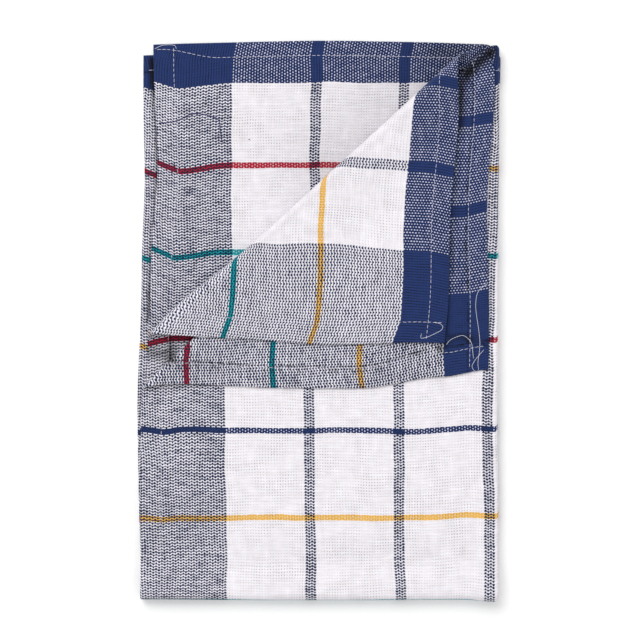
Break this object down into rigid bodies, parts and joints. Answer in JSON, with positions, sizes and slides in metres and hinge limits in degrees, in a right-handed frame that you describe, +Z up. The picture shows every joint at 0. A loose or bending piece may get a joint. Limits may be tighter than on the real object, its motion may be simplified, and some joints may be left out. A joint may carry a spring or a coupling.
{
  "type": "tea towel",
  "caption": "Cotton kitchen towel with a woven windowpane check, folded flat with a corner turned back, for drying dishes.",
  "frame": {"origin": "on the surface it lies on, under the middle of the folded towel's box", "axes": "+Z up from the surface; +Y towards the open end hems, away from the crosswise fold; +X towards the lengthwise fold"},
  "size_m": [0.229, 0.353, 0.0148],
  "materials": {
    "towel": "plain woven cotton, matte"
  },
  "bodies": {
    "root": {"towel": "towel"}
  },
  "joints": []
}
